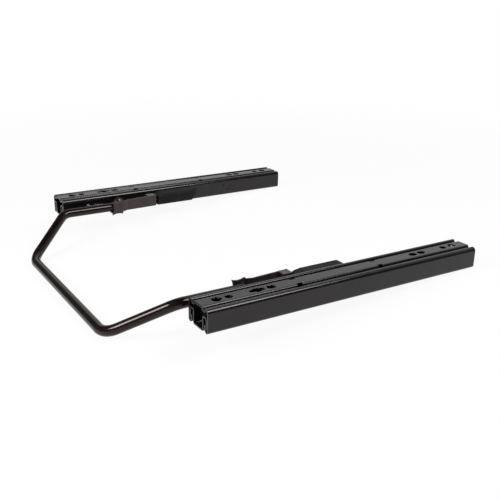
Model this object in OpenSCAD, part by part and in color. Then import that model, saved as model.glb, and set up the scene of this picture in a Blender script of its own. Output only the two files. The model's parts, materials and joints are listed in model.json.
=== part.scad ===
// Pair of double-locking seat slide rails joined by a one-piece release bar.
// X runs across the seat, +Y to its rear, +Z up. The origin is the centre of the four floor bolts.
// The left rail, for a person on the seat, lies at +X and the right rail at -X.

/* [Rails] */
// Length of every rail
rail_l = 360; // [330:1:420]
// Distance between the centre lines of the two rails
rail_spacing = 417; // [390:1:460]
// Overall width of a rail
rail_w = 40; // [40:0.5:46]
// Height of a rail over its top panel
rail_h = 25.4; // [25:0.1:27]
// Sheet thickness of the upper rail
upper_t = 1.8; // [1.5:0.1:1.8]
// Sheet thickness of the lower rail
lower_t = 1.6; // [1.3:0.1:1.8]
// Inside radius of the small bends beside the top panel
tight_r = 0.4; // [0.3:0.1:0.4]
// Width of the flat top panel
panel_w = 13.6; // [13:0.1:13.8]
// Flat width at the bottom of each top groove
groove_floor = 3.2; // [2.6:0.1:3.4]
// Outside radius of the rail's upper corners
bead_r = 4.5; // [4:0.1:4.7]
// Outside radius of the hooks under the side walls
hook_r = 3.6; // [3.4:0.1:3.8]
// Height of the hook lips
lip_h = 8.5; // [7:0.5:9]
// Inside bend radius of the lower rail
lower_r = 0.8; // [0.6:0.1:1]
// Height of the lower rail's shoulders, on which the balls run
shoulder_z = 16.8; // [16.2:0.1:17]
// Height at which the lower rail's wings end
wing_end = 4.4; // [3.6:0.1:5]
// Side clearance between the hook lips and the lower rail's channel
channel_gap = 2.4; // [1.8:0.1:2.8]

/* [Holes] */
// Distance between the two floor bolts of a rail
floor_gap = 320; // [300:1:324]
// Diameter of the floor bolt holes in the lower rail
floor_hole_d = 8.5; // [6.5:0.5:9]
// Diameter of the access holes over the floor bolts
access_d = 10; // [9:0.5:11]
// Distance between the two seat bolts of a rail
seat_gap = 292; // [270:1:292]
// Diameter of the seat bolt holes in the top panel
seat_hole_d = 8.5; // [6.5:0.5:8.5]

/* [Release bar] */
// Diameter of the bar
bar_d = 12; // [10:0.5:12.5]
// Gap between the bar and the rail's inner wall
bar_wall_gap = 10.6; // [10:0.1:11]
// Height of the bar's ends over the floor
bar_z = 11.7; // [11.4:0.1:12.4]
// How far the bar reaches in front of the rails
bar_reach = 64; // [50:1:90]
// How far the bar's front drops below its ends
bar_drop = 39.8; // [20:0.2:50]
// Length of the bar's front between its corners
bar_front = 246; // [200:1:280]
// Bend radius of the bar's front corners
bar_corner_r = 30; // [24:1:34]
// Bend radius of the bar where it leaves the rails
bar_elbow_r = 20; // [14:1:24]

/* [Release lever] */
// Distance of the lever's pivot behind the front of the rails
pivot_y = 81.5; // [79:0.5:84]
// Height of the lever's pivot
pivot_z = 11.7; // [11:0.1:12.4]
// Diameter of the pivot's shoulder
pivot_d = 6; // [5:0.5:7]
// Sheet thickness of the lever
lever_t = 1.8; // [1.4:0.1:2]
// Length of the lever's socket
socket_l = 16.3; // [15.5:0.1:18]
// How far the ears of the socket stand above and below the bar's axis
ear_reach = 10; // [8.5:0.1:10.5]
// Distance of the lever's arm from the rail's inner wall
arm_gap = 19.4; // [18.5:0.1:20]

/* [Lock] */
// Length of the lock housing
housing_l = 60; // [58:1:68]
// How far the housing stands out from the rail's wall
housing_depth = 19.5; // [18.5:0.1:20]
// Height of the housing
housing_h = 16.8; // [16.4:0.1:17]
// Sheet thickness of the housing
housing_t = 1.4; // [1:0.1:1.5]
// Distance from one lock tooth to the next
tooth_pitch = 10; // [9:0.5:11]
// Number of teeth on a lock plate
tooth_count = 4; // [3:1:4]
// Width of a lock tooth
tooth_w = 5; // [4:0.5:5.5]
// Number of lock slots in a lower rail
slot_count = 26; // [16:2:26]
// Diameter of the lock plate's hinge pin
lock_pin_d = 3.5; // [3:0.5:4]

/* [Bearings] */
// Diameter of the bearing balls
ball_d = 3.8; // [3.4:0.1:3.9]
// Distance from one ball to the next
ball_pitch = 25; // [18:1:28]
// Number of balls in a cage
ball_count = 8; // [4:1:9]
// Width of the load rollers
roller_w = 13; // [10:0.5:13]
// Distance between the two load rollers of a rail
roller_gap = 150; // [120:1:156]

/* [Hidden] */
$fn = 48;

left = 1;
right = -1;
through = 60;

// Clearances: running fits, pieces of different bodies, and the sweep of the lock teeth
run_gap = 0.05;
free_gap = 0.3;
tooth_gap = 0.6;

// Rail
front_y = -rail_l / 2;
step_r = tight_r + upper_t;
ledge_z = rail_h - step_r - tight_r;
lower_out = lower_r + lower_t;
channel_half = rail_w / 2 - 2 * hook_r - channel_gap;
wing_x = rail_w / 2 - hook_r - lower_t / 2 - lower_r;
wing_face = wing_x + lower_out;
panel_half = panel_w / 2;
groove_x = panel_half + step_r + tight_r;

// Openings of the top panel, as distances from the front of the rail
key_slot_y = 67;
key_slot_d = 6;
key_slot_l = 13;
oval_d = 8;
oval_l = 2.5;
front_oval = 84;
rear_ovals = [82, 69];
oval_y = [front_oval, rail_l - rear_ovals[0], rail_l - rear_ovals[1]];
notch_y = [119, 227];
notch_l = 5;

// Lever and bar
bar_r = bar_d / 2;
bar_p = bar_wall_gap + bar_r;
bar_x = rail_spacing / 2 - rail_w / 2 - bar_p;
bar_lead = 4.4;
bend_swell = 0.08;
bend_lap = 1;
lever_y = front_y + pivot_y;
socket_y = lever_y - socket_l - 2.6;
bar_end_y = socket_y + 12;
web_p = bar_p + bar_r;
floor_z = bar_z - bar_r;
rivet_head_r = 7.5;
rivet_dome = 3.6;
lever_gap = 0.6;
ear_top = bar_z + ear_reach;
ear_low = bar_z - ear_reach;

// Lock
housing_lead = 55.5;
housing_y = front_y + pivot_y + housing_lead;
housing_z = 4.8;
pin_p = 5.2;
pin_z = housing_z + 5.4;
barrel_r = lock_pin_d / 2 + 1.45;
plate_t = 1.6;
plate_z = pin_z + barrel_r - plate_t;
tongue_p = 11.2;
plate_gap = 1.6;
end_lean = 4.3;
plate_y = housing_y + housing_t + plate_gap;
plate_l = housing_l - 2 * housing_t - 2 * plate_gap - end_lean;
lock_y = plate_y + plate_l / 2;
finger_p = 9.6;
finger_l = 7;
arm_clear = 5.5;
arm_end = housing_y - arm_clear;
rivet_tab = 10;
rivet_d = 5;

// Bearings
ball_r = ball_d / 2;
ball_x = rail_w / 2 - upper_t - free_gap - ball_r + 0.1;
ball_z = shoulder_z - lower_out + sqrt(pow(lower_out + ball_r + 0.1, 2) - pow(ball_x - wing_x, 2));
cage_t = 1;
roller_d = rail_h - upper_t - lower_t - 2 * free_gap;

// Distance inward from a rail's inner wall to its own X
function inward(p) = -rail_w / 2 - p;
function unit(v) = v / norm(v);

// Puts a piece of the left rail on its rail, or mirrors it to the right one
module on_rail(side) {
    translate([side * rail_spacing / 2, 0, 0])
        mirror([side < 0 ? 1 : 0, 0, 0])
            children();
}

// Quarter of a sheet bend in a section
module bend(x, z, inside_r, t, turn) {
    translate([x, z])
        rotate(turn)
            intersection() {
                difference() {
                    circle(r = inside_r + t);
                    circle(r = inside_r);
                }
                square(inside_r + t);
            }
}

module strip(x, z, w, h) {
    translate([x, z])
        square([w, h]);
}

// A section drawn in X and Z, run along the whole rail
module along_rail() {
    translate([0, rail_l / 2, 0])
        rotate([90, 0, 0])
            linear_extrude(rail_l)
                children();
}

module upper_half() {
    bend_z = rail_h - step_r;
    rise_x = groove_x + groove_floor;
    crest_x = rise_x + step_r + tight_r;
    corner_x = rail_w / 2 - bead_r;
    hook_x = rail_w / 2 - hook_r;
    strip(0, rail_h - upper_t, panel_half, upper_t);
    bend(panel_half, bend_z, tight_r, upper_t, 0);
    bend(groove_x, bend_z, tight_r, upper_t, 180);
    strip(groove_x, ledge_z - upper_t, groove_floor, upper_t);
    bend(rise_x, bend_z, tight_r, upper_t, 270);
    bend(crest_x, bend_z, tight_r, upper_t, 90);
    strip(crest_x, rail_h - upper_t, corner_x - crest_x, upper_t);
    bend(corner_x, rail_h - bead_r, bead_r - upper_t, upper_t, 0);
    strip(rail_w / 2 - upper_t, hook_r, upper_t, rail_h - bead_r - hook_r);
    bend(hook_x, hook_r, hook_r - upper_t, upper_t, 270);
    bend(hook_x, hook_r, hook_r - upper_t, upper_t, 180);
    strip(rail_w / 2 - 2 * hook_r, hook_r, upper_t, lip_h - hook_r);
}

module lower_half() {
    bend_z = shoulder_z - lower_out;
    flare_x = channel_half + lower_r;
    strip(0, 0, channel_half - lower_out, lower_t);
    bend(channel_half - lower_out, lower_out, lower_r, lower_t, 270);
    strip(channel_half - lower_t, lower_out, lower_t, bend_z - lower_out);
    bend(flare_x, bend_z, lower_r, lower_t, 90);
    strip(flare_x, shoulder_z - lower_t, wing_x - flare_x, lower_t);
    bend(wing_x, bend_z, lower_r, lower_t, 0);
    strip(wing_x + lower_r, wing_end, lower_t, bend_z - wing_end);
}

module both_halves() {
    children();
    mirror([1, 0])
        children();
}

// Hole straight down through the top panel
module panel_hole(y, d) {
    translate([0, y, rail_h - upper_t - 1])
        cylinder(d = d, h = upper_t + 2);
}

// Slot with round ends through the top panel, l long between its end centres
module panel_slot(y, d, l) {
    panel_hole(y - l / 2, d);
    panel_hole(y + l / 2, d);
    translate([-d / 2, y - l / 2, rail_h - upper_t - 1])
        cube([d, l, upper_t + 2]);
}

// Round hole through the inner wall
module wall_hole(y, z, d) {
    translate([inward(1), y, z])
        rotate([0, 90, 0])
            cylinder(d = d, h = upper_t + 2);
}

module groove_notch(y) {
    for (s = [-1, 1])
        translate([s * (groove_x + groove_floor / 2), y, ledge_z - upper_t / 2])
            cube([groove_floor + 2 * tight_r, notch_l, 2 * upper_t], center = true);
}

function tooth_y(i) = lock_y + (i - (tooth_count - 1) / 2) * tooth_pitch;

module lock_window(y) {
    win_z = plate_z - tooth_gap;
    translate([inward(1), y - tooth_w / 2 - tooth_gap, win_z])
        cube([upper_t + 2, tooth_w + 2 * tooth_gap, housing_z + housing_h - housing_t - win_z]);
}

module upper_rail(side) {
    key_tail_d = 4;
    key_tail_l = 5;
    color([0.10, 0.10, 0.11])
        on_rail(side)
            difference() {
                along_rail()
                    both_halves()
                        upper_half();
                panel_hole(-floor_gap / 2, access_d);
                panel_slot(-floor_gap / 2 + key_tail_l / 2, key_tail_d, key_tail_l);
                panel_hole(floor_gap / 2, access_d);
                for (s = [-1, 1])
                    panel_hole(s * seat_gap / 2, seat_hole_d);
                panel_hole(front_y + key_slot_y, access_d);
                panel_slot(front_y + key_slot_y, key_slot_d, key_slot_l);
                for (y = oval_y)
                    panel_slot(front_y + y, oval_d, oval_l);
                for (y = notch_y)
                    groove_notch(front_y + y);
                wall_hole(lever_y, pivot_z, pivot_d + 2 * run_gap);
                for (y = [housing_y - rivet_tab / 2, housing_y + housing_l + rivet_tab / 2])
                    wall_hole(y, housing_z + housing_h / 2, rivet_d + 2 * run_gap);
                for (i = [0 : tooth_count - 1])
                    lock_window(tooth_y(i));
            }
}

function slot_y(i) = lock_y + (i - (slot_count - 1) / 2) * tooth_pitch;

module lower_rail(side) {
    slot_w = tooth_w + tooth_gap;
    slot_h = 3;
    color([0.13, 0.13, 0.14])
        on_rail(side)
            difference() {
                along_rail()
                    both_halves()
                        lower_half();
                for (s = [-1, 1])
                    translate([0, s * floor_gap / 2, -1])
                        cylinder(d = floor_hole_d, h = lower_t + 2);
                for (i = [0 : slot_count - 1])
                    translate([-wing_face - 1, slot_y(i) - slot_w / 2, plate_z + plate_t / 2 - slot_h / 2])
                        cube([lower_t + 2, slot_w, slot_h]);
            }
}

// Straight round stretch of the bar from one point to another
module rod(from, to) {
    d = to - from;
    translate(from)
        rotate([0, acos(d.z / norm(d)), atan2(d.y, d.x)])
            cylinder(r = bar_r, h = norm(d));
}

// Angle turned between two directions, and the length that a bend takes off each of them
function turn_angle(a, b) = acos(a * b);
function bend_cut(a, b, r) = r * tan(turn_angle(a, b) / 2);

// Round bend of the bar at a corner, from direction a to direction b
module elbow(corner, a, b, r) {
    n = unit(b - (a * b) * a);
    c = corner - a * bend_cut(a, b, r) + n * r;
    k = cross(-n, a);
    multmatrix([
        [-n.x, a.x, k.x, c.x],
        [-n.y, a.y, k.y, c.y],
        [-n.z, a.z, k.z, c.z],
        [0, 0, 0, 1],
    ])
        rotate_extrude(angle = turn_angle(a, b))
            translate([r, 0])
                circle(r = bar_r + bend_swell);
}

// One side of the bar, from its end beside the rail to the bend at its front corner
module bar_side() {
    tail = [bar_x, bar_end_y, bar_z];
    knee = [bar_x, front_y - bar_lead, bar_z];
    corner = [bar_front / 2, front_y - bar_reach, bar_z - bar_drop];
    a = unit(knee - tail);
    b = unit(corner - knee);
    c = [-1, 0, 0];
    knee_cut = bend_cut(a, b, bar_elbow_r) - bend_lap;
    corner_cut = bend_cut(b, c, bar_corner_r) - bend_lap;
    rod(tail, knee - a * knee_cut);
    elbow(knee, a, b, bar_elbow_r);
    rod(knee + b * knee_cut, corner - b * corner_cut);
    elbow(corner, b, c, bar_corner_r);
}

module release_bar() {
    b = unit([bar_front / 2 - bar_x, bar_lead - bar_reach, -bar_drop]);
    front_half = bar_front / 2 - bend_cut(b, [-1, 0, 0], bar_corner_r) + bend_lap;
    front = [front_half, front_y - bar_reach, bar_z - bar_drop];
    color([0.08, 0.075, 0.075]) {
        rod(front, [-front.x, front.y, front.z]);
        bar_side();
        mirror([1, 0, 0])
            bar_side();
    }
}

// Outline of the lever's web in Y and Z: an eared socket with hollow sides, and a rising arm
module lever_outline() {
    scoop = 1.8;
    scoop_r = 20;
    waist = 2.4;
    waist_r = (pow(ear_reach, 2) + pow(waist, 2)) / (2 * waist);
    arm_low = 5.4;
    arm_rise = 0.8;
    arm_h = 14.6;
    mid_y = socket_y + socket_l / 2;
    arm_y = socket_y + socket_l;
    difference() {
        union() {
            polygon([
                [socket_y, ear_low],
                [arm_y, ear_low],
                [arm_y - waist, arm_low],
                [arm_y + waist, arm_low + arm_h - 1],
                [arm_y, ear_top],
                [socket_y, ear_top],
            ]);
            polygon([
                [arm_y - waist, arm_low],
                [arm_end, arm_low + arm_rise],
                [arm_end, arm_low + arm_rise + arm_h + 1],
                [arm_y + waist, arm_low + arm_h],
                [arm_y - waist, arm_low + arm_h],
            ]);
        }
        translate([mid_y, ear_top + scoop_r - scoop])
            circle(r = scoop_r);
        translate([mid_y, ear_low - scoop_r + scoop])
            circle(r = scoop_r);
        translate([socket_y + waist - waist_r, bar_z])
            circle(r = waist_r);
    }
}

// Run of the lever's web seen from above, in distance from the wall and Y
module lever_plan() {
    arm_y = socket_y + socket_l;
    jog = 8;
    polygon([
        [inward(web_p), socket_y],
        [inward(web_p), arm_y],
        [inward(arm_gap), arm_y + jog],
        [inward(arm_gap), arm_end],
        [inward(arm_gap + lever_t), arm_end],
        [inward(arm_gap + lever_t), arm_y + jog],
        [inward(web_p + lever_t), arm_y],
        [inward(web_p + lever_t), socket_y],
    ]);
}

module release_lever(side) {
    flange_r = 8.5;
    tail_l = 12;
    tail_z = ear_top - 0.1;
    finger_z = plate_z + plate_t + 0.5;
    finger_h = 2.5;
    color([0.14, 0.12, 0.12])
        on_rail(side) {
            intersection() {
                linear_extrude(2 * rail_h, center = true)
                    lever_plan();
                translate([inward(through), 0, 0])
                    rotate([90, 0, 90])
                        linear_extrude(through)
                            lever_outline();
            }
            // Floor of the socket, under the end of the bar and cut round the pivot's head
            difference() {
                translate([inward(web_p + lever_t), socket_y, floor_z - lever_t])
                    cube([web_p + lever_t - lever_gap, socket_l, lever_t]);
                translate([inward(lever_gap + lever_t + rivet_dome + 1), lever_y, pivot_z])
                    rotate([0, 90, 0])
                        cylinder(r = rivet_head_r + free_gap, h = rivet_dome + 1);
            }
            // Ear that turns on the pivot
            difference() {
                union() {
                    translate([inward(lever_gap + lever_t), lever_y, pivot_z])
                        rotate([0, 90, 0])
                            cylinder(r = flange_r, h = lever_t);
                    translate([inward(lever_gap + lever_t), lever_y - flange_r, floor_z - lever_t])
                        cube([lever_t, 2 * flange_r - 4, pivot_z - floor_z + lever_t]);
                }
                translate([inward(lever_gap + lever_t + 1), lever_y, pivot_z])
                    rotate([0, 90, 0])
                        cylinder(r = pivot_d / 2 + run_gap, h = lever_t + 2);
            }
            // Tail flange and the finger that presses the lock plate
            translate([inward(arm_gap + lever_t), arm_end - tail_l, tail_z - lever_t])
                cube([arm_gap + lever_t - finger_p, tail_l, lever_t]);
            translate([inward(finger_p + lever_t), arm_end - tail_l, finger_z])
                cube([lever_t, tail_l, tail_z - finger_z]);
            translate([inward(finger_p + lever_t), arm_end - 1, finger_z])
                cube([lever_t, 1 + arm_clear + finger_l, finger_h]);
        }
}

// Shoulder rivet with a domed head, set flush inside the rail's wall
module lever_pivot(side) {
    head_p = lever_gap + lever_t + run_gap;
    dome_r = (pow(rivet_head_r, 2) + pow(rivet_dome, 2)) / (2 * rivet_dome);
    color([0.10, 0.10, 0.10])
        on_rail(side) {
            translate([inward(head_p), lever_y, pivot_z])
                rotate([0, 90, 0])
                    cylinder(d = pivot_d, h = head_p + upper_t);
            intersection() {
                translate([inward(head_p + rivet_dome - dome_r), lever_y, pivot_z])
                    sphere(r = dome_r);
                translate([inward(head_p + rivet_dome + 1), lever_y, pivot_z])
                    rotate([0, 90, 0])
                        cylinder(r = rivet_head_r, h = rivet_dome + 1);
            }
        }
}

// Points and faces of a round wire along the points of a path about the Y axis
function path_ring(p, q, r, sides) =
    let (t = unit(q - p), out = unit([p.x, 0, p.z]), side = unit(cross(t, out)), up = cross(side, t))
    [for (j = [0 : sides - 1]) p + r * (cos(360 * j / sides) * up + sin(360 * j / sides) * side)];

module wire(path, r, sides) {
    n = len(path);
    ahead = concat([for (i = [1 : n - 1]) path[i]], [2 * path[n - 1] - path[n - 2]]);
    rings = [for (i = [0 : n - 1]) path_ring(path[i], ahead[i], r, sides)];
    points = [for (ring = rings) for (p = ring) p];
    quads = [
        for (i = [0 : n - 2])
            for (j = [0 : sides - 1])
                let (a = i * sides, b = a + sides, k = (j + 1) % sides)
                [a + j, a + k, b + k, b + j],
    ];
    start = [for (j = [sides - 1 : -1 : 0]) j];
    end = [for (j = [0 : sides - 1]) (n - 1) * sides + j];
    polyhedron(points, concat([start], quads, [end]), convexity = 6);
}

// Tension spring beside the wall, with an upright hook at its front and a straight leg behind
module lever_spring(side) {
    wire_r = 0.5;
    coil_r = 2.1;
    turns = 9;
    steps = 12;
    sides = 6;
    pitch = 1.5;
    front_leg = 8.5;
    hook_w = 2;
    hook_h = 3;
    coil_lead = 44;
    coil_y = front_y + coil_lead;
    coil_l = turns * pitch;
    rear_leg = lever_y - rivet_head_r - 3 - coil_y - coil_l;
    spring_p = coil_r + wire_r + free_gap;
    spring_z = pivot_z + 0.7;
    coil = [
        for (i = [0 : turns * steps])
            let (a = 360 * i / steps)
            [coil_r * cos(a), coil_l * i / (turns * steps), coil_r * sin(a)],
    ];
    hook = [
        [coil_r, -front_leg, -hook_h],
        [coil_r, -front_leg - hook_w / 2, -hook_h - 0.6],
        [coil_r, -front_leg - hook_w, -hook_h],
        [coil_r, -front_leg - hook_w, hook_h - 1],
        [coil_r, -front_leg - hook_w / 2, hook_h],
        [coil_r, -front_leg + hook_w / 2, hook_h - 1],
        [coil_r, -front_leg + 1.5 * hook_w, 0.6],
    ];
    path = concat(hook, coil, [[coil_r, coil_l + rear_leg, 0]]);
    color([0.62, 0.62, 0.60])
        on_rail(side)
            translate([inward(spring_p), coil_y, spring_z])
                wire(path, wire_r, sides);
}

// Outline of the housing in distance from the wall and height, set in by a wall thickness
module housing_outline(inset) {
    slope = 2.5;
    k = 0.4 * inset;
    step_z = housing_z + 0.66 * housing_h;
    fold = 1.1;
    step = inset > 0 ? 0 : fold;
    low_p = housing_depth - fold - inset;
    polygon([
        [-1, housing_z + inset],
        [low_p - slope + k, housing_z + inset],
        [low_p, housing_z + slope + k],
        [low_p, step_z - step / 2],
        [low_p + step, step_z + step / 2],
        [low_p + step, housing_z + housing_h - slope - k],
        [low_p + step - slope + k, housing_z + housing_h - inset],
        [-1, housing_z + housing_h - inset],
    ]);
}

// Outline of the housing in Y and height: a sloped nose and a leaning rear end
module housing_side(inset) {
    nose_l = 9;
    nose_h = 3.7;
    top = housing_z + housing_h;
    polygon([
        [housing_y + inset, housing_z],
        [housing_y + inset, top - nose_h - 0.6 * inset],
        [housing_y + nose_l, top - inset],
        [housing_y + nose_l, top],
        [housing_y + housing_l - inset, top],
        [housing_y + housing_l - end_lean - inset, housing_z],
    ]);
}

// Runs a section in distance from the wall and height along a stretch of the rail
module beside_wall(y, l) {
    translate([inward(0), y, 0])
        mirror([1, 0, 0])
            translate([0, l, 0])
                rotate([90, 0, 0])
                    linear_extrude(l)
                        children();
}

// Solid form of the housing, or of its inside when set in
module housing_form(inset) {
    intersection() {
        beside_wall(housing_y, housing_l)
            housing_outline(inset);
        translate([inward(through / 2), 0, 0])
            rotate([90, 0, 90])
                linear_extrude(through)
                    housing_side(inset);
    }
}

module lock_housing(side) {
    tab_h = 9;
    mouth_p = finger_p - 1.4;
    mouth_z = housing_z + housing_t;
    mouth_h = 11;
    rivet_z = housing_z + housing_h / 2;
    color([0.11, 0.11, 0.115])
        on_rail(side)
            difference() {
                union() {
                    intersection() {
                        housing_form(0);
                        beside_wall(housing_y, housing_l)
                            square(2 * rail_h);
                    }
                    beside_wall(housing_y - rivet_tab, housing_l + 2 * rivet_tab)
                        translate([0, rivet_z - tab_h / 2])
                            square([housing_t, tab_h]);
                }
                housing_form(housing_t);
                // Mouth for the lever's finger
                translate([inward(housing_depth - 4), housing_y - 1, mouth_z])
                    cube([housing_depth - 4 - mouth_p, housing_t + 2, mouth_h]);
                translate([inward(pin_p), housing_y - 1, pin_z])
                    rotate([-90, 0, 0])
                        cylinder(r = lock_pin_d / 2 + run_gap, h = housing_l + 2);
                for (y = [housing_y - rivet_tab / 2, housing_y + housing_l + rivet_tab / 2])
                    translate([inward(housing_t + 1), y, rivet_z])
                        rotate([0, 90, 0])
                            cylinder(d = rivet_d + 2 * run_gap, h = housing_t + 2);
            }
}

module housing_rivets(side) {
    head_r = 4;
    head_h = 2;
    color([0.16, 0.16, 0.16])
        on_rail(side)
            for (y = [housing_y - rivet_tab / 2, housing_y + housing_l + rivet_tab / 2])
                translate([inward(housing_t), y, housing_z + housing_h / 2])
                    rotate([0, 90, 0]) {
                        cylinder(d = rivet_d, h = housing_t + upper_t);
                        translate([0, 0, -head_h])
                            cylinder(r1 = head_r - 1.2, r2 = head_r, h = head_h);
                    }
}

// Toothed plate that turns on the pin, with a tongue for the lever's finger
module lock_plate(side) {
    back_p = pin_p + barrel_r;
    edge_p = 1.2;
    tip_p = wing_face + 0.4 - rail_w / 2;
    tongue_l = 12;
    color([0.30, 0.29, 0.26])
        on_rail(side)
            difference() {
                union() {
                    translate([inward(pin_p), plate_y, pin_z])
                        rotate([-90, 0, 0])
                            cylinder(r = barrel_r, h = plate_l);
                    translate([inward(back_p), plate_y, plate_z])
                        cube([back_p - edge_p, plate_l, plate_t]);
                    translate([inward(tongue_p), plate_y, plate_z])
                        cube([tongue_p - edge_p, tongue_l, plate_t]);
                    for (i = [0 : tooth_count - 1])
                        translate([inward(edge_p + 1), tooth_y(i) - tooth_w / 2, plate_z])
                            cube([edge_p + 1 - tip_p, tooth_w, plate_t]);
                }
                translate([inward(pin_p), plate_y - 1, pin_z])
                    rotate([-90, 0, 0])
                        cylinder(r = lock_pin_d / 2 + run_gap, h = plate_l + 2);
            }
}

module lock_pin(side) {
    color([0.55, 0.55, 0.53])
        on_rail(side)
            translate([inward(pin_p), housing_y, pin_z])
                rotate([-90, 0, 0])
                    cylinder(d = lock_pin_d, h = housing_l);
}

function ball_y(i) = (i - (ball_count - 1) / 2) * ball_pitch;

// Comb-shaped ball cage in each upper corner
module ball_cages(side) {
    cage_in = ball_x - ball_r - 2;
    cage_out = rail_w / 2 - upper_t - free_gap;
    cage_l = ball_count * ball_pitch;
    color([0.75, 0.73, 0.66])
        on_rail(side)
            for (m = [0, 1])
                mirror([m, 0, 0])
                    difference() {
                        translate([cage_in, -cage_l / 2, ball_z - cage_t / 2])
                            cube([cage_out - cage_in, cage_l, cage_t]);
                        for (i = [0 : ball_count - 1])
                            translate([ball_x, ball_y(i), ball_z - cage_t])
                                cylinder(r = ball_r + run_gap, h = 2 * cage_t);
                    }
}

module bearing_balls(side) {
    color([0.78, 0.78, 0.78])
        on_rail(side)
            for (m = [-1, 1])
                for (i = [0 : ball_count - 1])
                    translate([m * ball_x, ball_y(i), ball_z])
                        sphere(r = ball_r);
}

// Load roller between the lower rail's floor and the top panel
module load_roller(side, y) {
    bore_d = 6;
    color([0.70, 0.70, 0.70])
        on_rail(side)
            translate([-roller_w / 2, y, lower_t + free_gap + roller_d / 2])
                rotate([0, 90, 0])
                    difference() {
                        cylinder(d = roller_d, h = roller_w);
                        translate([0, 0, -1])
                            cylinder(d = bore_d, h = roller_w + 2);
                    }
}

module front_roller(side) {
    load_roller(side, -roller_gap / 2);
}

module rear_roller(side) {
    load_roller(side, roller_gap / 2);
}

release_bar();
upper_rail(left);  // left_upper_rail
upper_rail(right);  // right_upper_rail
lower_rail(left);  // left_lower_rail
lower_rail(right);  // right_lower_rail
release_lever(left);  // left_release_lever
release_lever(right);  // right_release_lever
lever_pivot(left);  // left_lever_pivot
lever_pivot(right);  // right_lever_pivot
lever_spring(left);  // left_lever_spring
lever_spring(right);  // right_lever_spring
lock_housing(left);  // left_lock_housing
lock_housing(right);  // right_lock_housing
housing_rivets(left);  // left_housing_rivets
housing_rivets(right);  // right_housing_rivets
lock_plate(left);  // left_lock_plate
lock_plate(right);  // right_lock_plate
lock_pin(left);  // left_lock_pin
lock_pin(right);  // right_lock_pin
ball_cages(left);  // left_ball_cages
ball_cages(right);  // right_ball_cages
bearing_balls(left);  // left_bearing_balls
bearing_balls(right);  // right_bearing_balls
front_roller(left);  // left_front_roller
front_roller(right);  // right_front_roller
rear_roller(left);  // left_rear_roller
rear_roller(right);  // right_rear_roller
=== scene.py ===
"""Looks of two seat slide rails with a release bar: finishes, notched rails, floor, light and camera."""

import json
import math

import bmesh
import bpy
from mathutils import Matrix, Vector


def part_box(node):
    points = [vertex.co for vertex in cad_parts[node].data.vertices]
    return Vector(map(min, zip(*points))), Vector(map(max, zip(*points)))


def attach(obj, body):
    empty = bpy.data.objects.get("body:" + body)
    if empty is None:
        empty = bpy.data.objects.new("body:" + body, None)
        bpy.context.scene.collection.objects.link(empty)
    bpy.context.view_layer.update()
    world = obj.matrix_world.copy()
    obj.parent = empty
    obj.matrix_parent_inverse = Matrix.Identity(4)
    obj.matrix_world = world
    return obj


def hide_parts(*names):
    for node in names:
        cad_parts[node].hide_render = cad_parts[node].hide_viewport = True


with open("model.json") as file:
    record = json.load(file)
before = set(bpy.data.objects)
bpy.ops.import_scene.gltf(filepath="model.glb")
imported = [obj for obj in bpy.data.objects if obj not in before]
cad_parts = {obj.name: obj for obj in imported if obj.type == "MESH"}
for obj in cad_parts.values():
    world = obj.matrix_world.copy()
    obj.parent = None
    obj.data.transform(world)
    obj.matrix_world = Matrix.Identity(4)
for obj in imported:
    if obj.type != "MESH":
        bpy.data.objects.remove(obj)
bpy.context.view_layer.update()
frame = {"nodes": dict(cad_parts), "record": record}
nodes = frame["nodes"]

# Places of the colour sockets on a mix node, where several sockets share one name.
MIX_A, MIX_B, MIX_RESULT = 6, 7, 2
# Cosine between a face's own normal and the rounded one, on flat faces and along sharp edges.
FLAT_TO_SHARP = (0.995, 0.80)
EDGE_SAMPLES = 6


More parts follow.
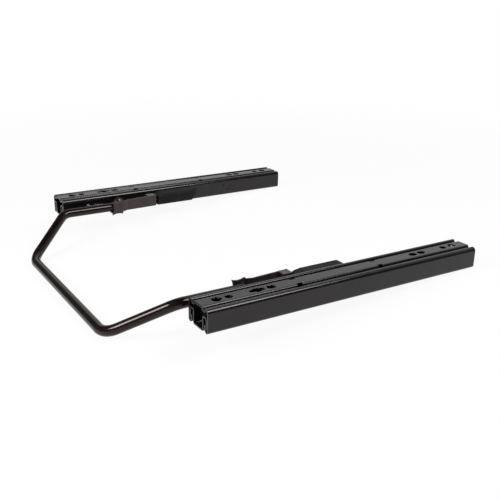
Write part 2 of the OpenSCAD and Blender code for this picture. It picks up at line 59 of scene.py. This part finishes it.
class Nodes:
    """Short hand for building one node tree."""

    def __init__(self, tree):
        self.tree = tree

    def add(self, kind, sockets=None, **settings):
        node = self.tree.nodes.new(kind)
        for name, value in settings.items():
            setattr(node, name, value)
        for name, value in (sockets or {}).items():
            node.inputs[name].default_value = value
        return node

    def link(self, source, target):
        self.tree.links.new(source, target)

    def math(self, operation, a, b):
        """Two values put together, each a number or a socket."""
        node = self.add("ShaderNodeMath", operation=operation)
        for slot, value in zip(node.inputs, (a, b)):
            if isinstance(value, float):
                slot.default_value = value
            else:
                self.link(value, slot)
        return node.outputs[0]

    def dot(self, direction, other):
        """The dot product of a socket with another socket or a fixed vector."""
        node = self.add("ShaderNodeVectorMath", operation="DOT_PRODUCT")
        self.link(direction, node.inputs[0])
        if isinstance(other, Vector):
            node.inputs[1].default_value = other
        else:
            self.link(other, node.inputs[1])
        return node.outputs["Value"]

    def noise(self, scale, detail=4.0, roughness=0.55):
        """Noise in the piece's own metres."""
        node = self.add("ShaderNodeTexNoise", {"Scale": scale, "Detail": detail, "Roughness": roughness})
        self.link(self.add("ShaderNodeTexCoord").outputs["Object"], node.inputs["Vector"])
        return node.outputs["Fac"]

    def ramp(self, source, band, out=(0.0, 1.0)):
        """A value carried from one range over to another, and held at the ends."""
        limits = {"From Min": band[0], "From Max": band[1], "To Min": out[0], "To Max": out[1]}
        node = self.add("ShaderNodeMapRange", limits, clamp=True)
        self.link(source, node.inputs["Value"])
        return node.outputs[0]

    def mix(self, factor, a, b):
        """A colour between two, each a colour or a socket."""
        node = self.add("ShaderNodeMix", data_type="RGBA")
        self.link(factor, node.inputs["Factor"])
        for slot, value in ((node.inputs[MIX_A], a), (node.inputs[MIX_B], b)):
            if isinstance(value, tuple):
                slot.default_value = (*value, 1.0)
            else:
                self.link(value, slot)
        return node.outputs[MIX_RESULT]

    def blend(self, factor, a, b):
        """A shader between two shader nodes."""
        node = self.add("ShaderNodeMixShader")
        self.link(factor, node.inputs["Fac"])
        self.link(a.outputs[0], node.inputs[1])
        self.link(b.outputs[0], node.inputs[2])
        return node

    def edges(self, radius):
        """1 along sharp edges and 0 on flat faces, and the rounded normal itself."""
        rounded = self.add("ShaderNodeBevel", {"Radius": radius}, samples=EDGE_SAMPLES).outputs[0]
        plain = self.add("ShaderNodeNewGeometry").outputs["Normal"]
        return self.ramp(self.dot(rounded, plain), FLAT_TO_SHARP), rounded

    def relief(self, height, strength, depth, normal=None):
        """A normal that a height pattern bumps."""
        node = self.add("ShaderNodeBump", {"Strength": strength, "Distance": depth})
        self.link(height, node.inputs["Height"])
        if normal is not None:
            self.link(normal, node.inputs["Normal"])
        return node.outputs[0]


def surface(name):
    """A new material, the helper for its nodes, and the sockets of its shader."""
    material = bpy.data.materials.new(name)
    material.use_nodes = True
    shader = material.node_tree.nodes["Principled BSDF"]
    return material, Nodes(material.node_tree), shader.inputs


# Noise scales are features per metre, depths and radii are metres. A band is the part of a noise that counts.
GLOSS_BAND = (0.3, 0.7)

COAT_CLOUDS, COAT_CLOUD_BAND = 42.0, (0.35, 0.68)
COAT_RUBS, COAT_RUB_BAND = 160.0, (0.42, 0.66)
COAT_SHEEN = 95.0
COAT_PEEL, COAT_PEEL_DEPTH = 620.0, 0.0002
COAT_EDGE = 0.0005
# How far a rubbed edge goes towards the edge colour, and how much duller it is. On the housings that light
# edge colour is worn paint and also a painted highlight along their rims.
RUB_AND_RIM_SHARE, RUB_DULLING = 0.35, 0.12


def dip_coat(name, dark, light, wear_and_rim_light, gloss, peel, ior, tint):
    """Black dip coat on steel: mottled colour and gloss, orange peel, and thin paint along edges. Where the
    edge colour is light, as on the housings, it is also a painted highlight along the edges.
    """
    material, tree, paint = surface(name)
    paint["IOR"].default_value = ior
    paint["Specular Tint"].default_value = (*tint, 1.0)
    edge, rounded = tree.edges(COAT_EDGE)
    patches = tree.ramp(tree.noise(COAT_RUBS, detail=6.0, roughness=0.7), COAT_RUB_BAND)
    edge_wear_and_rim = tree.math("MULTIPLY", edge, patches)
    clouds = tree.ramp(tree.noise(COAT_CLOUDS, detail=5.0), COAT_CLOUD_BAND)
    base = tree.mix(clouds, dark, light)
    # Painted highlight on the housings: the light edge colour mixed in here along edges stands for a lit rim
    # as well as for wear.
    tree.link(tree.mix(tree.math("MULTIPLY", edge_wear_and_rim, RUB_AND_RIM_SHARE), base, wear_and_rim_light), paint["Base Color"])
    sheen = tree.ramp(tree.noise(COAT_SHEEN), GLOSS_BAND, gloss)
    tree.link(tree.math("ADD", sheen, tree.math("MULTIPLY", edge_wear_and_rim, RUB_DULLING)), paint["Roughness"])
    orange_peel = tree.noise(COAT_PEEL, detail=2.0)
    tree.link(tree.relief(orange_peel, peel, COAT_PEEL_DEPTH, rounded), paint["Normal"])
    return material


STEEL_MARKS, STEEL_MARK_STRENGTH, STEEL_MARK_DEPTH = 900.0, 0.12, 0.0001
STEEL_GREASE, STEEL_GREASE_BAND, STEEL_GREASE_SHARE = 120.0, (0.45, 0.7), 0.6


def bare_steel(name, dark, light, gloss):
    """Bright or dark bare steel with fine ground marks and a little grease."""
    material, tree, steel = surface(name)
    steel["Metallic"].default_value = 1.0
    marks = tree.noise(STEEL_MARKS, roughness=0.6)
    grease = tree.ramp(tree.noise(STEEL_GREASE, detail=3.0), STEEL_GREASE_BAND)
    tree.link(tree.mix(tree.math("MULTIPLY", grease, STEEL_GREASE_SHARE), light, dark), steel["Base Color"])
    tree.link(tree.ramp(marks, GLOSS_BAND, gloss), steel["Roughness"])
    tree.link(tree.relief(marks, STEEL_MARK_STRENGTH, STEEL_MARK_DEPTH), steel["Normal"])
    return material


PLASTIC_CLOUDS, PLASTIC_CLOUD_BAND = 80.0, (0.35, 0.65)
PLASTIC_SHEEN = 400.0
PLASTIC_GRAIN, PLASTIC_GRAIN_STRENGTH, PLASTIC_GRAIN_DEPTH = 1500.0, 0.1, 0.0001


def moulded(name, dark, light, gloss, ior):
    """Natural moulded plastic with a fine matt grain."""
    material, tree, plastic = surface(name)
    plastic["IOR"].default_value = ior
    clouds = tree.ramp(tree.noise(PLASTIC_CLOUDS), PLASTIC_CLOUD_BAND)
    tree.link(tree.mix(clouds, dark, light), plastic["Base Color"])
    tree.link(tree.ramp(tree.noise(PLASTIC_SHEEN), GLOSS_BAND, gloss), plastic["Roughness"])
    grain = tree.noise(PLASTIC_GRAIN, detail=2.0)
    tree.link(tree.relief(grain, PLASTIC_GRAIN_STRENGTH, PLASTIC_GRAIN_DEPTH), plastic["Normal"])
    return material


FINISHES = {
    "rail_black": dip_coat(
        "rail_dip_coat",
        dark=(0.005, 0.0044, 0.0045),
        light=(0.009, 0.0080, 0.0082),
        wear_and_rim_light=(0.06, 0.056, 0.054),
        gloss=(0.13, 0.20),
        peel=0.015,
        ior=1.44,
        tint=(1.0, 0.95, 0.97),
    ),
    "bar_black": dip_coat(
        "bar_dip_coat",
        dark=(0.0045, 0.0027, 0.0024),
        light=(0.0075, 0.0046, 0.0041),
        wear_and_rim_light=(0.05, 0.04, 0.036),
        gloss=(0.09, 0.15),
        peel=0.04,
        ior=1.38,
        tint=(1.0, 0.88, 0.84),
    ),
    "lever_black": dip_coat(
        "lever_dip_coat",
        dark=(0.021, 0.0150, 0.0148),
        light=(0.032, 0.0228, 0.0224),
        wear_and_rim_light=(0.11, 0.090, 0.086),
        gloss=(0.24, 0.34),
        peel=0.10,
        ior=1.5,
        tint=(1.0, 0.89, 0.90),
    ),
    "spring_steel": bare_steel(
        "spring_wire", dark=(0.42, 0.41, 0.38), light=(0.72, 0.71, 0.69), gloss=(0.18, 0.32)
    ),
    "lock_steel": bare_steel(
        "hard_steel", dark=(0.10, 0.095, 0.09), light=(0.22, 0.21, 0.20), gloss=(0.28, 0.45)
    ),
    "bright_steel": bare_steel(
        "ground_steel", dark=(0.36, 0.34, 0.30), light=(0.64, 0.64, 0.63), gloss=(0.14, 0.28)
    ),
    "cage_plastic": moulded(
        "cage_plastic", dark=(0.60, 0.57, 0.48), light=(0.72, 0.69, 0.61), gloss=(0.42, 0.58), ior=1.5
    ),
}

# The housings share the rails' slot but are duller, as phosphated steel is. Their light edge colour is worn
# paint and also a painted highlight along their rims.
HOUSING = dip_coat(
    "housing_phosphate",
    dark=(0.017, 0.0158, 0.0161),
    light=(0.024, 0.0223, 0.0227),
    # Painted highlight: this light edge colour lights the housings' rims as well as showing worn paint.
    wear_and_rim_light=(0.22, 0.205, 0.20),
    gloss=(0.50, 0.62),
    peel=0.10,
    ior=1.12,
    tint=(1.0, 0.96, 0.95),
)

slots = {piece["node"]: piece["material_slot"] for piece in frame["record"]["subparts"]}
for name, piece in nodes.items():
    piece.data.materials.clear()
    piece.data.materials.append(HOUSING if name.endswith("lock_housing") else FINISHES[slots[name]])


def placed(name, mesh):
    """A new object with this mesh, linked to the scene."""
    piece = bpy.data.objects.new(name, bpy.data.meshes.new(name))
    mesh.to_mesh(piece.data)
    mesh.free()
    bpy.context.scene.collection.objects.link(piece)
    return piece


def settle(piece):
    """Apply a piece's modifiers to its mesh."""
    graph = bpy.context.evaluated_depsgraph_get()
    done = bpy.data.meshes.new_from_object(piece.evaluated_get(graph))
    piece.modifiers.clear()
    piece.data = done


def carve(piece, operation, boxes):
    """Join closed boxes to a piece or cut them out of it."""
    mesh = bmesh.new()
    for low, high in boxes:
        for vert in bmesh.ops.create_cube(mesh, size=1.0)["verts"]:
            vert.co = Vector([(a + b) / 2 + c * (b - a) for a, b, c in zip(low, high, vert.co)])
    tool = placed("notch_tool", mesh)
    boolean = piece.modifiers.new("notches", "BOOLEAN")
    boolean.operation = operation
    boolean.solver = "EXACT"
    boolean.object = tool
    settle(piece)
    bpy.data.objects.remove(tool)


# The grooves of an upper rail, in metres: their edges from the rail's middle, and their depth below its top.
GROOVE_ACROSS, GROOVE_DEPTH = (0.0089, 0.0131), 0.0026
# The node's own notches in the grooves' floor, which are filled: from the rail's front, length and depth.
FILLED_AT, FILLED_LENGTH, FILLED_DEPTH = (0.119, 0.227), 0.0052, 0.0018
# The photograph's notches, which bite into the panel's edge too and are cut from above the rail's top.
NOTCH_AT, NOTCH_LENGTH, NOTCH_DEPTH = (0.1142, 0.2228), 0.0066, 0.0022
NOTCH_ACROSS, NOTCH_ABOVE = (0.0054, 0.0128), 0.001
# Three staking marks in the inner wall: how far from the rail's front, and how high.
STAMPS = ((0.2567, 0.0158), (0.2632, 0.0091), (0.2688, 0.0142))
STAMP_SIZE, STAMP_DEPTH = 0.0026, 0.0012
# Points closer than this are one, and slivers thinner than this go.
WELD, SLIVER = 1e-6, 2e-6
# Edges past this angle stay sharp. With full weight, a large flat face keeps its normal beside a small bend.
SHARP_ANGLE, FLAT_WEIGHT = math.radians(28), 100


def groove_boxes(rail, places, length, across, bottom, top):
    """A box in each groove of a rail at each place along it."""
    low, high = rail
    middle = (low.x + high.x) / 2
    boxes = []
    for y in places:
        for hand in (-1, 1):
            left, right = sorted(middle + hand * reach for reach in across)
            boxes.append(((left, low.y + y - length / 2, bottom), (right, low.y + y + length / 2, top)))
    return boxes


def stamp_boxes(rail, side):
    """A box for each staking mark of a rail's inner wall."""
    low, high = rail
    face = low.x if side == "left" else high.x
    half = STAMP_SIZE / 2
    boxes = []
    for y, z in STAMPS:
        bottom = (face - STAMP_DEPTH, low.y + y - half, low.z + z - half)
        top = (face + STAMP_DEPTH, low.y + y + half, low.z + z + half)
        boxes.append((bottom, top))
    return boxes


def notched_rail(side):
    """The upper rail with its groove notches and staking marks as the photograph shows them."""
    node = nodes[f"{side}_upper_rail"]
    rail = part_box(node.name)
    top = rail[1].z
    ledge = top - GROOVE_DEPTH

    welded = bmesh.new()
    welded.from_mesh(node.data)
    bmesh.ops.remove_doubles(welded, verts=welded.verts[:], dist=WELD)
    piece = placed(f"{side}_notched_rail", welded)

    plugs = groove_boxes(rail, FILLED_AT, FILLED_LENGTH, GROOVE_ACROSS, ledge - FILLED_DEPTH, ledge)
    notches = groove_boxes(
        rail, NOTCH_AT, NOTCH_LENGTH, NOTCH_ACROSS, ledge - NOTCH_DEPTH, top + NOTCH_ABOVE
    )
    carve(piece, "UNION", plugs)
    carve(piece, "DIFFERENCE", notches)
    carve(piece, "DIFFERENCE", stamp_boxes(rail, side))

    clean = bmesh.new()
    clean.from_mesh(piece.data)
    bmesh.ops.dissolve_degenerate(clean, dist=SLIVER, edges=clean.edges[:])
    clean.to_mesh(piece.data)
    clean.free()

    piece.data.polygons.foreach_set("use_smooth", [True] * len(piece.data.polygons))
    piece.data.set_sharp_from_angle(angle=SHARP_ANGLE)
    flat = piece.modifiers.new("flat_walls", "WEIGHTED_NORMAL")
    flat.mode = "FACE_AREA"
    flat.weight = FLAT_WEIGHT
    flat.keep_sharp = True
    settle(piece)

    piece.data.materials.clear()
    piece.data.materials.append(FINISHES["rail_black"])
    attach(piece, "seat_rails")
    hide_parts(node.name)


# The floor, in metres: its half size, its drop that keeps it clear of the part, and how far the middle of the
# bar's front run lies behind the bar's foremost point.
FLOOR_SIZE, FLOOR_DROP, BAR_RADIUS = 6.0, 0.0002, 0.006
FLOOR_GREY = (0.9, 0.9, 0.9, 1.0)
# The share of the floor's white that shines by itself, close to the part and far away, at these distances.
GLOW_SHARE, GLOW_REACH = (0.93, 1.0), (0.4, 1.3)


def floor_white():
    """White that shines where it is seen, takes faint shadows close to the part, and is clear from below."""
    material = bpy.data.materials.new("floor_white")
    material.use_nodes = True
    material.node_tree.nodes.clear()
    tree = Nodes(material.node_tree)
    path = tree.add("ShaderNodeLightPath").outputs
    seen = tree.math("MAXIMUM", path["Is Camera Ray"], path["Is Glossy Ray"])
    seen = tree.math("MAXIMUM", seen, path["Is Transmission Ray"])
    away = tree.add("ShaderNodeVectorMath", operation="LENGTH")
    tree.link(tree.add("ShaderNodeTexCoord").outputs["Object"], away.inputs[0])
    share = tree.ramp(away.outputs["Value"], GLOW_REACH, GLOW_SHARE)
    paint = tree.add("ShaderNodeBsdfDiffuse", {"Color": FLOOR_GREY})
    glow = tree.add("ShaderNodeEmission", {"Strength": 1.0})
    lit = tree.blend(tree.math("MULTIPLY", seen, share), paint, glow)
    from_below = tree.add("ShaderNodeNewGeometry").outputs["Backfacing"]
    sheet = tree.blend(from_below, lit, tree.add("ShaderNodeBsdfTransparent"))
    tree.link(sheet.outputs[0], tree.add("ShaderNodeOutputMaterial").inputs["Surface"])
    return material


def floor_sheet():
    """A pale floor on which the bar's front and the rear ends of the rails stand, level behind the rails."""
    bar_low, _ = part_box("release_bar")
    _, rail_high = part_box("left_upper_rail")
    front, rear = bar_low.y + BAR_RADIUS, rail_high.y
    slope = -bar_low.z / (rear - front)
    mesh = bmesh.new()
    rows = []
    for y in (-FLOOR_SIZE, rear, FLOOR_SIZE):
        z = min(y - rear, 0.0) * slope - FLOOR_DROP
        rows.append([mesh.verts.new((x, y, z)) for x in (-FLOOR_SIZE, FLOOR_SIZE)])
    for near, far in zip(rows, rows[1:]):
        mesh.faces.new([near[0], near[1], far[1], far[0]])
    sheet = placed("floor", mesh)
    sheet.data.materials.append(floor_white())


# The room's brightness: towards the backdrop, towards the front, and elsewhere. A band is the range of the
# cosine over which it rises towards that side.
BACKDROP, BACKDROP_BAND, BACKDROP_LIGHT = Vector((-0.5, 0.866, 0.0)), (0.3, 0.62), 0.8
FRONT, FRONT_BAND, FRONT_LIGHT = Vector((0.0, -1.0, 0.0)), (0.1, 0.6), 0.19
ROOM_LIGHT = 0.05


def studio_world():
    """A bright backdrop, a dim room in front, darker sides, and white all round for the camera."""
    world = bpy.data.worlds.new("studio")
    world.use_nodes = True
    bpy.context.scene.world = world
    world.node_tree.nodes.clear()
    tree = Nodes(world.node_tree)
    direction = tree.add("ShaderNodeTexCoord").outputs["Generated"]
    behind = tree.ramp(tree.dot(direction, BACKDROP), BACKDROP_BAND, (ROOM_LIGHT, BACKDROP_LIGHT))
    ahead = tree.ramp(tree.dot(direction, FRONT), FRONT_BAND, (ROOM_LIGHT, FRONT_LIGHT))
    room = tree.math("MAXIMUM", behind, ahead)
    seen = tree.add("ShaderNodeLightPath").outputs["Is Camera Ray"]
    shade = tree.add("ShaderNodeBackground", {"Color": (1.0, 1.0, 1.0, 1.0)})
    tree.link(tree.math("MAXIMUM", room, seen), shade.inputs["Strength"])
    tree.link(shade.outputs[0], tree.add("ShaderNodeOutputWorld").inputs["Surface"])


SOFTBOX_SIDE = 0.5


def softbox(name, place, aim, power):
    """A square studio light at a place, turned to a point."""
    light = bpy.data.lights.new(name, "AREA")
    light.shape = "RECTANGLE"
    light.size = SOFTBOX_SIDE
    light.size_y = SOFTBOX_SIDE
    light.energy = power
    lamp = bpy.data.objects.new(name, light)
    lamp.location = place
    lamp.rotation_euler = (Vector(aim) - Vector(place)).to_track_quat("-Z", "Y").to_euler()
    bpy.context.scene.collection.objects.link(lamp)


# The photograph's camera: its direction and roll, the point that it looks at, its distance in metres, and its
# focal length in pixels of the photograph, which is 500 pixels wide.
AZIMUTH, ELEVATION, ROLL = math.radians(57.74), math.radians(20.04), -0.0196
TARGET = Vector((0.0774, -0.0396, 0.0132))
DISTANCE = 0.8816
FOCAL_PIXELS, PHOTO_PIXELS = 735.0, 500.0
SENSOR_WIDTH = 36.0
CLIP_NEAR, CLIP_FAR = 0.01, 50.0


def camera():
    """The camera as it stood for the photograph."""
    level = math.cos(ELEVATION)
    back = Vector((math.sin(AZIMUTH) * level, -math.cos(AZIMUTH) * level, math.sin(ELEVATION)))
    right = Vector((math.cos(AZIMUTH), math.sin(AZIMUTH), 0.0))
    down = (-back).cross(right)
    across = math.cos(ROLL) * right + math.sin(ROLL) * down
    below = -math.sin(ROLL) * right + math.cos(ROLL) * down
    data = bpy.data.cameras.new("camera")
    data.sensor_width = SENSOR_WIDTH
    data.lens = SENSOR_WIDTH * FOCAL_PIXELS / PHOTO_PIXELS
    data.clip_start = CLIP_NEAR
    data.clip_end = CLIP_FAR
    eye = bpy.data.objects.new("camera", data)
    turn = Matrix((across, -below, back)).transposed()
    eye.matrix_world = Matrix.Translation(TARGET + back * DISTANCE) @ turn.to_4x4()
    bpy.context.scene.collection.objects.link(eye)
    bpy.context.scene.camera = eye


for side in ("left", "right"):
    notched_rail(side)
floor_sheet()
studio_world()
softbox("side_box", place=(0.65, 0.375, 1.03), aim=(0.05, -0.15, 0.0), power=9.0)
softbox("front_box", place=(-0.041, -1.204, 0.64), aim=(0.15, -0.2, 0.0), power=13.0)
camera()

bpy.context.scene.view_settings.view_transform = "Standard"
